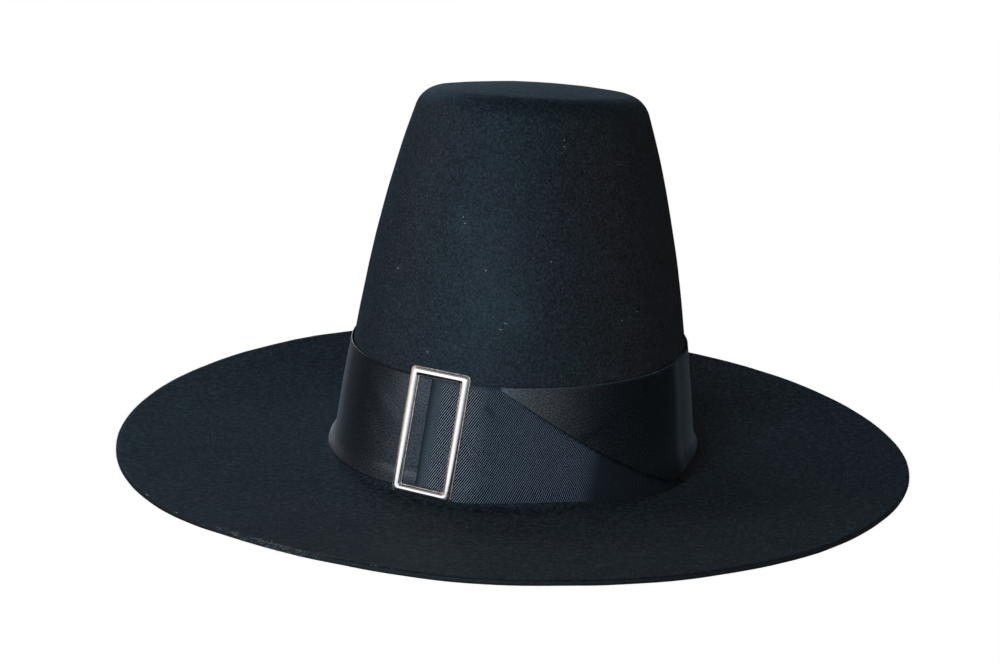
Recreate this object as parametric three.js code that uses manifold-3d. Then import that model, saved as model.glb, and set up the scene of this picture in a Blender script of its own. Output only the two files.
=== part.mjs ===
import * as THREE from "three";
import { mergeVertices } from "three/addons/utils/BufferGeometryUtils.js";
import Module from "manifold-3d";

const wasm = await Module();
wasm.setup();
const { Manifold, Mesh: SolidMesh } = wasm;

// Lengths are in mm and angles in degrees. +Z is up, the buckle faces -Y.
// A turn is measured round the crown from the front, towards +X.

// Felt body
const feltThickness = 2.2;
const headHalfWidth = 84.0; // inside of the head opening, from the middle to one side
const headExtra = 19.5; // how much further the opening runs to the front and to the back
const crownRise = 178.5; // from the brim's upper face to the middle of the crown's top
const crownLean = { x: -4.0, y: -1.0 }; // where the top's middle stands from the base's middle
const crownShift = { x: -0.5, y: -0.2 }; // where the base's middle stands from the brim's middle
const shoulderRadius = 13.5; // where the wall turns in to the top
const topDome = 3.0;
const topLean = 84; // how steeply the top faces up where the shoulder ends
const baseFillet = 6.0; // between the crown's wall and the brim's upper face
const brimWidth = 103.0;
const brimFlat = 14.0; // level ring round the head opening, on which the hat rests
const brimLift = 13.5; // highest rise of the brim's edge above the level ring
const brimTrim = 1.0; // how much narrower the brim is at the front and at the back
const edgeRounding = 0.25; // of the brim's edge, as a share of the felt's thickness

// How much of the base's half width the wall has lost at the full height: in step with the height,
// with its square and with its fourth power.
const taper = { straight: 0.25, bend: 0.1, tuck: 0.085 };

// Rise of the brim's edge, as a share of brimLift.
const brimEdge = [
  { turn: 0, lift: 0.67 },
  { turn: 15, lift: 0.68 },
  { turn: 30, lift: 0.77 },
  { turn: 60, lift: 0.81 },
  { turn: 90, lift: 0.87 },
  { turn: 120, lift: 0.79 },
  { turn: 150, lift: 0.87 },
  { turn: 180, lift: 0.93 },
  { turn: 210, lift: 0.98 },
  { turn: 235, lift: 1.0 },
  { turn: 270, lift: 0.62 },
  { turn: 295, lift: 0.41 },
  { turn: 320, lift: 0.36 },
  { turn: 335, lift: 0.42 },
  { turn: 347, lift: 0.62 },
];

// Ribbon pieces
const ribbonWidth = 50.0;
const ribbonThickness = 1.0;
const pieceGap = 0.3;
const ribbonRise = 3.6; // lower edge of the band above the brim's upper face, at the front
const foldThickness = 0.9; // what the tucked-under corner adds to the band's front end

// A ribbon's lower edge bulges out over the base fillet: how far, and the heights above the brim
// where the bulge is full and where it ends, as shares of baseFillet.
const hemBulge = { out: 0.62, full: 0.13, end: 2.0 };

// Height of the band's edges above ribbonRise, as shares of ribbonWidth.
const bandEdges = [
  { turn: 0, low: 0.036, high: 1.005 },
  { turn: 30, low: 0.0, high: 1.011 },
  { turn: 60, low: -0.012, high: 1.028 },
  { turn: 90, low: 0.04, high: 1.056 },
  { turn: 120, low: 0.066, high: 1.078 },
  { turn: 150, low: 0.086, high: 1.095 },
  { turn: 180, low: 0.09, high: 1.102 },
  { turn: 210, low: 0.082, high: 1.095 },
  { turn: 240, low: 0.064, high: 1.078 },
  { turn: 270, low: 0.058, high: 1.056 },
  { turn: 300, low: 0.01, high: 1.028 },
  { turn: 330, low: 0.004, high: 1.008 },
];
const strapEdges = [
  { turn: -4, low: 0.086, high: 1.018 },
  { turn: 2.5, low: 0.084, high: 1.015 },
  { turn: 8, low: -0.002, high: 0.995 },
  { turn: 19, low: 0.012, high: 1.0 },
  { turn: 32, low: 0.026, high: 1.0 },
  { turn: 44, low: 0.014, high: 0.99 },
  { turn: 55, low: -0.018, high: 0.965 },
  { turn: 66, low: -0.05, high: 0.94 },
  { turn: 82, low: -0.056, high: 0.925 },
];

// Front end of the band: a fold slants down across it, as shares of the ribbon's height.
const foldLine = [
  { turn: 18.5, height: 0.985 },
  { turn: 27.5, height: 0.82 },
  { turn: 38, height: 0.62 },
  { turn: 46, height: 0.47 },
  { turn: 57.5, height: 0.275 },
  { turn: 68, height: 0.1 },
  { turn: 75, height: 0.0 },
];
const bandTuck = 7.8; // how far the band's other end passes the front's middle, under the strap
const strapTurn = 79.5; // degrees round the crown at which the strap ends
const strapClear = 1.5; // degrees beyond the strap's end at which the band starts to come down
const landingTurn = 9; // degrees over which the band then comes down to the felt
const landedTurn = 4; // degrees beyond the strap's own landing at which its even columns start
const foldEdge = [0.3, 0.8]; // thinner rows at the fold, as shares of the thickness

// Tucked-under corner of the band: its cut edge shows as a soft step from the fold up to the right.
const stepWidth = 0.07; // of the ribbon's height
const cornerStep = [
  { turn: 40, height: 0.5 },
  { turn: 54, height: 0.69 },
  { turn: 66, height: 0.85 },
  { turn: 77, height: 1.03 },
];

// Buckle
const buckleWidth = 28.0;
const buckleLap = 2.9; // how far the frame's height passes the ribbon's width, at each end
const buckleRise = 0.4; // lower end of the frame above the band's lower edge
const buckleBar = 4.2;
const buckleDepth = 2.6;
const frameCorner = 2.0; // radius of the frame's outer corners
const windowCorner = 0.5;
const buckleSide = 0.2; // where the frame's middle stands from the front's middle
const buckleRoll = 3.0; // clockwise as seen from the front
const postWidth = 2.6;
const postSide = -0.7; // where the post stands from the frame's middle
const postThickness = 1.2;
const legBite = 0.15; // how deep the post's legs run into the frame, as a share of bar and depth
const strapEasing = 10.8; // how far beyond the band's tucked end the strap lies down on the felt

// One bar of the frame, as shares of its width and of its depth, from the window to the outer edge.
const barSection = [
  { across: 0.0, depth: 0.0 },
  { across: 0.0, depth: 0.42 },
  { across: 0.1, depth: 0.46 },
  { across: 0.15, depth: 0.66 },
  { across: 0.23, depth: 0.82 },
  { across: 0.35, depth: 0.95 },
  { across: 0.5, depth: 1.0 },
  { across: 0.65, depth: 0.95 },
  { across: 0.77, depth: 0.82 },
  { across: 0.85, depth: 0.66 },
  { across: 0.9, depth: 0.46 },
  { across: 1.0, depth: 0.42 },
  { across: 1.0, depth: 0.0 },
];

// Places between the post and the strap's landing, as shares of the way.
const strapSlope = [0.01, 0.12, 0.24, 0.38, 0.53, 0.68, 0.82, 1.0];

// Flat faces along each stretch.
const around = 64;
const fine = { shoulder: 5, wall: 7, fillet: 4, brim: 7, fold: 13, band: 56, strap: 12, corner: 4 };
const domeRows = [0, 0.4, 0.75]; // shares of the way from the top's middle to the shoulder

const baseHalf = headHalfWidth + feltThickness;
const ribbonHem = feltThickness + ribbonRise;

const radians = THREE.MathUtils.degToRad;
const mix = (a, b, share) => a + (b - a) * share;
const steps = (count) => Array.from({ length: count + 1 }, (_, n) => n / count);

function smooth(value) {
  const t = Math.min(1, Math.max(0, value));
  return t * t * (3 - 2 * t);
}

// One column of a table at any place between its rows, as a smooth curve.
function read(rows, key, column, at) {
  const found = rows.findIndex((row, n) => n > 0 && at <= row[key]);
  const i = found < 0 ? rows.length - 1 : found;
  const row = (n) => rows[Math.min(rows.length - 1, Math.max(0, n))];
  const [before, from, to, after] = [row(i - 2), row(i - 1), row(i), row(i + 1)];
  const slope = (a, b) => (b[column] - a[column]) / (b[key] - a[key]);
  const span = to[key] - from[key];
  const t = Math.min(1, Math.max(0, (at - from[key]) / span));
  const start = slope(before, to) * span;
  const end = slope(from, after) * span;
  const change = to[column] - from[column];
  const bend = 3 * change - 2 * start - end;
  const twist = start + end - 2 * change;
  return from[column] + start * t + bend * t ** 2 + twist * t ** 3;
}

// The same for a table that runs round the hat.
function readRound(rows, column, turn) {
  const shifted = (list, by) => list.map((row) => ({ ...row, turn: row.turn + by }));
  const closed = [...shifted(rows.slice(-2), -360), ...rows, ...shifted(rows.slice(0, 2), 360)];
  return read(closed, "turn", column, ((turn % 360) + 360) % 360);
}

// How far the wall has drawn in at a height, and its slope there.
function wallAt(z) {
  const s = (z - feltThickness) / crownRise;
  const inset = baseHalf * (taper.straight * s + taper.bend * s ** 2 + taper.tuck * s ** 4);
  const slope = (baseHalf * (taper.straight + 2 * taper.bend * s + 4 * taper.tuck * s ** 3)) / crownRise;
  return { out: -inset, lean: Math.atan(slope) };
}

// A point of the felt's oval: its distance outside the base oval, its turn and its height.
function plan(out, turn, z, centre) {
  const a = radians(turn);
  return new THREE.Vector3(
    (baseHalf + out) * Math.sin(a) + centre.x,
    -(baseHalf + headExtra + out) * Math.cos(a) + centre.y,
    z,
  );
}

function crownCentre(z) {
  const s = Math.max(0, (z - feltThickness) / crownRise);
  return { x: crownShift.x + crownLean.x * s, y: crownShift.y + crownLean.y * s };
}

// A point that stands off the crown's wall.
function onWall(turn, z, off) {
  return plan(wallAt(z).out + off, turn, z, crownCentre(z));
}

// A closed body from rings of points; a ring of one point closes an end.
function shell(rings) {
  const points = [];
  const faces = [];
  const first = rings.map((ring) => points.push(...ring) - ring.length);
  for (let r = 0; r + 1 < rings.length; r++) {
    const [a, b] = [rings[r], rings[r + 1]];
    const count = Math.max(a.length, b.length);
    for (let n = 0; n < count; n++) {
      const next = (n + 1) % count;
      const [a0, a1] = [n, next].map((k) => first[r] + (k % a.length));
      const [b0, b1] = [n, next].map((k) => first[r + 1] + (k % b.length));
      if (a0 !== a1) faces.push(a0, b1, a1);
      if (b0 !== b1) faces.push(a0, b0, b1);
    }
  }
  const geometry = new THREE.BufferGeometry().setFromPoints(points);
  geometry.setIndex(faces);
  return geometry;
}

const brimRise = (share) => share ** 2 * (1.6 - 0.6 * share);
const brimSlope = (share) => share * (3.2 - 1.8 * share);
const facing = (lean) => ({ out: Math.cos(lean), z: Math.sin(lean) });

// Half section of the felt's outer face, from the top's middle to the brim's edge. Each row has its
// distance outside the base oval, its height, the way it faces, its share of the way along the brim
// and its share of the way out from the top's middle.
function feltSection() {
  const rows = [];
  const add = (out, z, lean, brim = 0, top = 1) => rows.push({ out, z, lean, brim, top });
  const rimLean = radians(topLean);
  const topEdge = feltThickness + crownRise - topDome;

  let shoulder = topEdge - shoulderRadius;
  for (let rounds = 0; rounds < 12; rounds++) {
    shoulder = topEdge - shoulderRadius * (Math.sin(rimLean) - Math.sin(wallAt(shoulder).lean));
  }
  const start = wallAt(shoulder);
  const hub = {
    out: start.out - shoulderRadius * Math.cos(start.lean),
    z: shoulder - shoulderRadius * Math.sin(start.lean),
  };
  const onShoulder = (lean) => [
    hub.out + shoulderRadius * Math.cos(lean),
    hub.z + shoulderRadius * Math.sin(lean),
    lean,
  ];
  const [rimOut, rimHeight] = onShoulder(rimLean);
  for (const k of domeRows) add(rimOut, rimHeight + topDome * (1 - k ** 2), rimLean, 0, k);
  for (const k of steps(fine.shoulder)) add(...onShoulder(mix(rimLean, start.lean, k)));

  const footLean = wallAt(feltThickness + baseFillet).lean;
  const foot = feltThickness + baseFillet * (1 - Math.sin(footLean));
  for (const k of steps(fine.wall).slice(1)) {
    const z = mix(shoulder, foot, k);
    const wall = wallAt(z);
    add(wall.out, z, wall.lean);
  }
  const levelStart = wallAt(foot).out + baseFillet * Math.cos(footLean);
  for (const k of steps(fine.fillet).slice(1)) {
    const lean = mix(footLean, Math.PI / 2, k);
    const z = feltThickness + baseFillet * (1 - Math.sin(lean));
    add(levelStart - baseFillet * Math.cos(lean), z, lean);
  }
  const levelEnd = levelStart + brimFlat;
  add(levelEnd, feltThickness, Math.PI / 2);
  const reach = brimWidth - levelEnd;
  for (const k of steps(fine.brim).slice(1)) add(levelEnd + reach * k, feltThickness, Math.PI / 2, k);
  return { rows, reach };
}

// The crown and brim: one wall of even thickness, open below, with a softly rounded brim edge.
function feltBody() {
  const { rows, reach } = feltSection();

  // A point at one row and turn, under the outer face by a depth and drawn in by a trim.
  function at(row, turn, depth, trim) {
    const lift = brimLift * readRound(brimEdge, "lift", turn);
    const face = facing(row.lean + Math.atan((lift * brimSlope(row.brim)) / reach));
    const z = row.z + lift * brimRise(row.brim);
    const base = row.brim > 0 ? crownShift : crownCentre(z);
    const middle = { x: mix(base.x, 0, row.brim), y: mix(base.y, 0, row.brim) };
    const spot = plan(row.out - depth * face.out - trim, turn, z - depth * face.z, middle);
    spot.y += brimTrim * row.brim * Math.cos(radians(turn));
    spot.x = mix(middle.x, spot.x, row.top);
    spot.y = mix(middle.y, spot.y, row.top);
    return spot;
  }

  function ring(row, depth, trim = 0) {
    const turns = row.top === 0 ? [0] : steps(around).slice(0, around);
    return turns.map((share) => at(row, share * 360, depth, trim));
  }

  const edge = rows[rows.length - 1];
  const soft = feltThickness * edgeRounding;
  const outer = rows.slice(0, -1).map((row) => ring(row, 0));
  const inner = rows.slice(0, -1).reverse().map((row) => ring(row, feltThickness));
  const upperRim = [ring(edge, 0, soft), ring(edge, soft)];
  const lowerRim = [ring(edge, feltThickness - soft), ring(edge, feltThickness, soft)];
  return shell([...outer, ...upperRim, ...lowerRim, ...inner]);
}

// How far a ribbon bulges out at a height.
function flareAt(z) {
  const height = (z - feltThickness) / baseFillet;
  return hemBulge.out * baseFillet * smooth((hemBulge.end - height) / (hemBulge.end - hemBulge.full));
}

// A ribbon from its cross sections. Each is a list of {outer, inner}, from the lower edge to the upper.
function ribbonBody(sections) {
  const loops = sections.map((section) => [
    ...section.map((pair) => pair.outer),
    ...section.map((pair) => pair.inner).reverse(),
  ]);
  const size = loops[0].length;
  const last = (loops.length - 1) * size;
  const faces = [];
  for (let start = 0; start < last; start += size) {
    for (let n = 0; n < size; n++) {
      const [here, next] = [start + n, start + ((n + 1) % size)];
      faces.push(here, here + size, next + size, here, next + size, next);
    }
  }
  for (let n = 0; n + 1 < size / 2; n++) {
    const [outer, outerUp, innerUp, inner] = [n, n + 1, size - 2 - n, size - 1 - n];
    faces.push(outer, outerUp, innerUp, outer, innerUp, inner);
    faces.push(last + outer, last + innerUp, last + outerUp, last + outer, last + inner, last + innerUp);
  }
  const geometry = new THREE.BufferGeometry().setFromPoints(loops.flat());
  geometry.setIndex(faces);
  return geometry;
}

// Heights across a ribbon: close together where the lower edge bulges.
const ribbonRows = [0, 0.04, 0.08, 0.12, 0.16, 0.22, 0.45, 0.72, 1];

const bandHeight = (turn, share) =>
  ribbonHem + ribbonWidth * mix(readRound(bandEdges, "low", turn), readRound(bandEdges, "high", turn), share);
const strapHeight = (turn, share) => {
  const value = (column) => read(strapEdges, "turn", column, turn);
  return ribbonHem + ribbonWidth * mix(value("low"), value("high"), share);
};

function band() {
  const over = pieceGap * 2 + ribbonThickness; // its inner face where it lies on the strap
  const foldEnd = foldLine[foldLine.length - 1].turn;
  const tuckEnd = 360 + THREE.MathUtils.radToDeg(bandTuck / baseHalf);
  const cornerEnd = cornerStep[cornerStep.length - 1].turn;
  const lowering = strapTurn + strapClear;

  function pairAt(turn, share, thin) {
    const z = bandHeight(turn, share);
    const raised = turn < 180 ? 1 - smooth((turn - lowering) / landingTurn) : 0;
    const inner = mix(pieceGap, over, raised) + flareAt(z);
    const beyond = share - read(cornerStep, "turn", "height", turn);
    const corner = turn < cornerEnd ? smooth(beyond / stepWidth + 1 / 2) : 0;
    const outer = inner + ribbonThickness + foldThickness * corner;
    const middle = (inner + outer) / 2;
    return {
      outer: onWall(turn, z, mix(middle, outer, thin)),
      inner: onWall(turn, z, mix(middle, inner, thin)),
    };
  }

  // Columns above the fold stand on it, with a thinner rounded edge.
  const front = steps(fine.fold).slice(0, -1).map((k) => {
    const turn = mix(foldLine[0].turn, foldEnd, k);
    const fold = read(foldLine, "turn", "height", turn);
    return ribbonRows.map((row, n) => pairAt(turn, mix(fold, 1, row), foldEdge[n] ?? 1));
  });
  const rest = steps(fine.band).map((k) => {
    const turn = mix(foldEnd, tuckEnd, k);
    return ribbonRows.map((row) => pairAt(turn, row, 1));
  });
  return ribbonBody([...front, ...rest]);
}

// The buckle's place: its foot stands off the bulging lower edge, its head off the band's upper edge.
function buckleFrame() {
  const height = ribbonWidth + buckleLap * 2;
  const low = ribbonHem + buckleRise;
  const high = low + height * Math.cos(wallAt(low).lean);
  const stand = pieceGap * 4 + ribbonThickness * 2 + postThickness;
  const foot = onWall(0, low, stand + flareAt(low) + pieceGap);
  const head = onWall(0, high, stand);
  const up = head.clone().sub(foot).normalize();
  const out = new THREE.Vector3(0, -up.z, up.y).normalize();
  const side = new THREE.Vector3().crossVectors(out, up).negate();
  const place = new THREE.Matrix4().makeBasis(side, up, out);
  const centre = foot.clone().addScaledVector(up, height / 2);
  centre.x = crownCentre(centre.z).x + buckleSide;
  place.setPosition(centre);
  place.multiply(new THREE.Matrix4().makeRotationZ(-radians(buckleRoll)));
  return { place, height };
}

const frame = buckleFrame();
const postDepth = -pieceGap * 2 - ribbonThickness; // the post's face, behind the frame's back

// The post at a height: how far its face stands off the wall, and how far it lies to the side.
function postAt(z) {
  const end = (y) => new THREE.Vector3(postSide, y, postDepth).applyMatrix4(frame.place);
  const [foot, head] = [end(-frame.height / 2), end(frame.height / 2)];
  const spot = foot.clone().lerp(head, (z - foot.z) / (head.z - foot.z));
  const centre = crownCentre(spot.z);
  const wall = wallAt(spot.z).out + baseHalf + headExtra;
  return { off: centre.y - spot.y - wall, side: spot.x - centre.x };
}

const foldTurn = -2; // where the strap's fold lies round the crown

// The strap's fold round the post's left side. Sides are shares of the ribbon's thickness, beside the
// post and its gap. Drops are shares of the way from the loop's face down to the band.
const strapFold = [
  { outerSide: 1.0, outerDrop: 1.0, innerSide: 0.0, innerDrop: 1.0 },
  { outerSide: 1.0, outerDrop: 0.35, innerSide: 0.0, innerDrop: 0.35 },
  { outerSide: 0.7, outerDrop: 0.09, innerSide: 0.0, innerDrop: 0.02 },
  { outerSide: -0.1, outerDrop: 0.0, innerSide: -0.3, innerDrop: 0.0 },
];

// The strap from its fold to its far end: over the post, down on to the felt, then round the crown.
function buckleStrap() {
  const half = postWidth / 2 + pieceGap;
  const layer = pieceGap + ribbonThickness;
  const descent = bandTuck + strapEasing - half;
  const onFelt = (z) => pieceGap + flareAt(z);
  const onPost = (z) => postAt(z).off + pieceGap;

  function beside(side, z, off) {
    const turn = Math.asin(side / (wallAt(z).out + baseHalf + off));
    return onWall(THREE.MathUtils.radToDeg(turn), z, off);
  }

  const fold = strapFold.map((row) =>
    ribbonRows.map((share) => {
      const z = strapHeight(foldTurn, share);
      const { side } = postAt(z);
      const top = onPost(z);
      const bottom = onFelt(z) + layer;
      const outerSide = side - half - row.outerSide * ribbonThickness;
      const innerSide = side - half - row.innerSide * ribbonThickness;
      return {
        outer: beside(outerSide, z, mix(top + ribbonThickness, bottom, row.outerDrop)),
        inner: beside(innerSide, z, mix(top, bottom, row.innerDrop)),
      };
    }),
  );

  const slope = strapSlope.map((beyond) =>
    ribbonRows.map((share) => {
      const middle = strapHeight(0, share);
      const side = postAt(middle).side + half + beyond * descent;
      const turn = THREE.MathUtils.radToDeg(side / baseHalf);
      const z = strapHeight(turn, share);
      const inner = mix(onPost(z), onFelt(z), smooth(beyond));
      return { outer: beside(side, z, inner + ribbonThickness), inner: beside(side, z, inner) };
    }),
  );

  const landing = THREE.MathUtils.radToDeg((half + descent + buckleSide) / baseHalf) + landedTurn;
  const round = steps(fine.strap).map((k) =>
    ribbonRows.map((share) => {
      const turn = mix(landing, strapTurn, k);
      const z = strapHeight(turn, share);
      return { outer: onWall(turn, z, onFelt(z) + ribbonThickness), inner: onWall(turn, z, onFelt(z)) };
    }),
  );
  return ribbonBody([...fold, ...slope, ...round]);
}

// A closed geometry as a solid for joining, and a joined solid as a geometry.
function solidOf(geometry) {
  const bare = geometry.clone();
  bare.deleteAttribute("normal");
  bare.deleteAttribute("uv");
  const merged = mergeVertices(bare, 1e-3);
  const vertProperties = merged.attributes.position.array;
  const triVerts = new Uint32Array(merged.index.array);
  return new Manifold(new SolidMesh({ numProp: 3, vertProperties, triVerts }));
}

function geometryOf(solid) {
  const mesh = solid.getMesh();
  const geometry = new THREE.BufferGeometry();
  geometry.setAttribute("position", new THREE.BufferAttribute(new Float32Array(mesh.vertProperties), 3));
  geometry.setIndex(Array.from(mesh.triVerts));
  return geometry;
}

// A bar that runs up near the frame's middle, between two heights and two depths.
function uprightBar(low, high, back, front) {
  const bar = new THREE.BoxGeometry(postWidth, high - low, front - back);
  return solidOf(bar.translate(postSide, (low + high) / 2, (back + front) / 2));
}

// The frame in its own place: X across, Y up its height, Z out from its back face.
function buckle() {
  const halfHeight = frame.height / 2;
  const corners = [
    { x: 1, y: 1, flipped: false },
    { x: -1, y: 1, flipped: true },
    { x: -1, y: -1, flipped: false },
    { x: 1, y: -1, flipped: true },
  ];
  const rings = barSection.map((row) => {
    const radius = mix(windowCorner, frameCorner, row.across);
    const inset = (1 - row.across) * buckleBar + radius;
    return corners.flatMap((corner) =>
      steps(fine.corner).map((k) => {
        const a = radians(90 * (corner.flipped ? 1 - k : k));
        const x = buckleWidth / 2 - inset + radius * Math.cos(a);
        const y = halfHeight - inset + radius * Math.sin(a);
        return new THREE.Vector3(corner.x * x, corner.y * y, row.depth * buckleDepth);
      }),
    );
  });
  const ring = solidOf(shell([...rings, rings[0]]));

  // The post, and the two short legs that join it to the frame beyond the strap's edges.
  const inverse = frame.place.clone().invert();
  const strapEdge = (share, deeper) => {
    const z = strapHeight(foldTurn, share);
    return onWall(0, z, postAt(z).off + deeper).applyMatrix4(inverse).y;
  };
  const reach = halfHeight - buckleBar * legBite;
  const legBack = postDepth - postThickness / 2;
  const legFront = buckleDepth * legBite;
  const lowLeg = strapEdge(0, pieceGap + ribbonThickness) - pieceGap;
  const highLeg = strapEdge(1, 0) + pieceGap;
  const joined = ring
    .add(uprightBar(-reach, reach, postDepth - postThickness, postDepth))
    .add(uprightBar(-reach, lowLeg, legBack, legFront))
    .add(uprightBar(highLeg, reach, legBack, legFront));
  return geometryOf(joined);
}

function piece(name, geometry, look) {
  geometry.computeVertexNormals();
  const material = new THREE.MeshStandardMaterial({ flatShading: true, ...look });
  const mesh = new THREE.Mesh(geometry, material);
  mesh.name = name;
  hat.add(mesh);
  return mesh;
}

const hat = new THREE.Group();
hat.name = "capotain";
piece("felt_body", feltBody(), { color: 0x14191c, roughness: 0.95, metalness: 0 });
piece("band", band(), { color: 0x0c0d12, roughness: 0.55, metalness: 0 });
piece("buckle_strap", buckleStrap(), { color: 0x10131a, roughness: 0.6, metalness: 0 });
piece("buckle", buckle(), { color: 0xc9ccd2, roughness: 0.25, metalness: 1 }).applyMatrix4(frame.place);

export default hat;
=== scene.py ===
"""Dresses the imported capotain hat: felt, ribbons and buckle, seen and lit as in the photograph."""
import math
import random
from collections import namedtuple

import bpy
import numpy as np
from mathutils import Matrix, Vector, noise


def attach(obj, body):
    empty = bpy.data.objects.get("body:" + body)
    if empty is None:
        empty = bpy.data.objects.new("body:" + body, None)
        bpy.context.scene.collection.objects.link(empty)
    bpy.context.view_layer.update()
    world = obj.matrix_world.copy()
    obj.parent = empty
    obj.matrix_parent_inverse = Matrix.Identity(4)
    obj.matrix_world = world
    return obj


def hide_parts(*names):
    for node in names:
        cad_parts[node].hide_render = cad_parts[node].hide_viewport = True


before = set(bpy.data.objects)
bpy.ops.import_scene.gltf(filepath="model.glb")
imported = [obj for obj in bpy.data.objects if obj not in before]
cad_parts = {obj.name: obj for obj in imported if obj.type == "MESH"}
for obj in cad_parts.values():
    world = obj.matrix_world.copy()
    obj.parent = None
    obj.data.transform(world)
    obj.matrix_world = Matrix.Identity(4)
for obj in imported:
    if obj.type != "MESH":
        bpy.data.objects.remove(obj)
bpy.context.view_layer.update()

# Sizes are in mm and turns in degrees from the front towards +X, as in the part.
MM = 0.001
FELT = 2.2
BASE_HALF = 86.2
HEAD_EXTRA = 19.5
RISE = 178.5
LEAN = (-4.0, -1.0)
SHIFT = (-0.5, -0.2)
SHOULDER = 13.5
DOME = 3.0
TOP_LEAN = math.radians(84)
FILLET = 6.0
BRIM = 103.0
BRIM_FLAT = 14.0
LIFT = 13.5
TRIM = 1.0
TAPER = (0.25, 0.1, 0.085)
RIBBON = 50.0
HEM = FELT + 3.6
# How far the brim's edge lifts: turn, share of LIFT.
BRIM_EDGE = [
    (0, 0.67), (15, 0.68), (30, 0.77), (60, 0.81), (90, 0.87), (120, 0.79), (150, 0.87), (180, 0.93),
    (210, 0.98), (235, 1.0), (270, 0.62), (295, 0.41), (320, 0.36), (335, 0.42), (347, 0.62),
]
# Edges of the band and the strap: turn, share of RIBBON above HEM.
BAND_LOW = [
    (0, 0.036), (30, 0.0), (60, -0.012), (90, 0.04), (120, 0.066), (150, 0.086), (180, 0.09),
    (210, 0.082), (240, 0.064), (270, 0.058), (300, 0.01), (330, 0.004),
]
BAND_HIGH = [
    (0, 1.005), (30, 1.011), (60, 1.028), (90, 1.056), (120, 1.078), (150, 1.095), (180, 1.102),
    (210, 1.095), (240, 1.078), (270, 1.056), (300, 1.028), (330, 1.008),
]
STRAP_LOW = [
    (-4, 0.086), (2.5, 0.084), (8, -0.002), (19, 0.012), (32, 0.026), (44, 0.014), (55, -0.018),
    (66, -0.05), (82, -0.056),
]
STRAP_HIGH = [
    (-4, 1.018), (2.5, 1.015), (8, 0.995), (19, 1.0), (32, 1.0), (44, 0.99), (55, 0.965), (66, 0.94),
    (82, 0.925),
]
# The band's slanting fold, and the step where its tucked corner ends: turn, share of the band's width.
FOLD_LINE = [(18.5, 0.985), (27.5, 0.82), (38, 0.62), (46, 0.47), (57.5, 0.275), (68, 0.1), (75, 0.0)]
CORNER_STEP = [(40, 0.5), (54, 0.69), (66, 0.85), (77, 1.03)]
GAP = 0.3
LAYER = 1.0
CLOTH = 0.7  # thickness that the ribbons show, with the outer face where the part has it
BAND_TUCK = 7.8
STEP_WIDTH = 0.07
STEP_HEIGHT = 0.45
STRAP_TURN = 79.5
STRAP_CLEAR = 1.5
LANDING_TURN = 9
STRAP_EASING = 10.8
STRAP_LOOSE = 1.4  # how far the strap's fold stands away from the post
FOLD_REACH = 2.1
FOLD_ARRIVAL = 0.4  # share of the fold's depth at which it starts to turn round
POST_WIDTH = 2.6
POST_DEPTH = 1.2
BAR = 4.2
BUCKLE_WIDTH = 28.0
BUCKLE_HEIGHT = RIBBON + 5.8
BUCKLE_DEPTH = 2.6
BUCKLE_SIDE = 0.2
BUCKLE_ROLL = math.radians(3.0)
BUCKLE_RISE = 0.4
POST_SIDE = -0.7
# The ribbons' bulge over the fillet, and the heights where it is full and ends, in fillets.
HEM_BULGE = 0.62
HEM_FULL = 0.13
HEM_END = 2.0


def smooth(value):
    t = np.clip(value, 0, 1)
    return t * t * (3 - 2 * t)


def mix(a, b, share):
    return a + (b - a) * share


def curve(table, at):
    """A table of (place, value) read as a smooth curve."""
    keys, values = np.array(table, float).T
    at = np.clip(np.asarray(at, float), keys[0], keys[-1])
    i = np.clip(np.searchsorted(keys, at), 1, len(keys) - 1)
    before, start, end, after = (np.clip(i + k, 0, len(keys) - 1) for k in (-2, -1, 0, 1))
    span = keys[end] - keys[start]
    t = (at - keys[start]) / span
    leave = (values[end] - values[before]) / (keys[end] - keys[before]) * span
    arrive = (values[after] - values[start]) / (keys[after] - keys[start]) * span
    change = values[end] - values[start]
    square = 3 * change - 2 * leave - arrive
    cube = leave + arrive - 2 * change
    return values[start] + leave * t + square * t**2 + cube * t**3


def round_curve(table, turn):
    """The same for a table that runs round the hat."""
    closed = [(k - 360, v) for k, v in table[-2:]] + table + [(k + 360, v) for k, v in table[:2]]
    return curve(closed, np.mod(turn, 360))


def wall_out(z):
    s = (np.asarray(z, float) - FELT) / RISE
    return -BASE_HALF * (TAPER[0] * s + TAPER[1] * s**2 + TAPER[2] * s**4)


def wall_lean(z):
    s = (np.asarray(z, float) - FELT) / RISE
    return np.arctan(BASE_HALF * (TAPER[0] + 2 * TAPER[1] * s + 4 * TAPER[2] * s**3) / RISE)


def centre(z):
    s = np.maximum(0, (np.asarray(z, float) - FELT) / RISE)
    return SHIFT[0] + LEAN[0] * s, SHIFT[1] + LEAN[1] * s


def on_wall(turn, z, off):
    """Points that stand off the crown's wall, as an array of x, y, z."""
    turn, z, off = np.broadcast_arrays(np.radians(turn), np.asarray(z, float), np.asarray(off, float))
    out = wall_out(z) + off
    cx, cy = centre(z)
    return np.stack(
        [(BASE_HALF + out) * np.sin(turn) + cx, -(BASE_HALF + HEAD_EXTRA + out) * np.cos(turn) + cy, z], -1
    )


def waves(points, size, seed):
    """Smooth noise from -1 to 1 at each point; size is its grain in mm."""
    flat = points.reshape(-1, 3) / size + seed
    return np.array([noise.noise(Vector(p)) for p in flat]).reshape(points.shape[:-1])


def uneven(points, kinds):
    """Waves of several kinds together: height, grain in mm, seed."""
    return sum(height * waves(points, size, seed) for height, size, seed in kinds)


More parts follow.
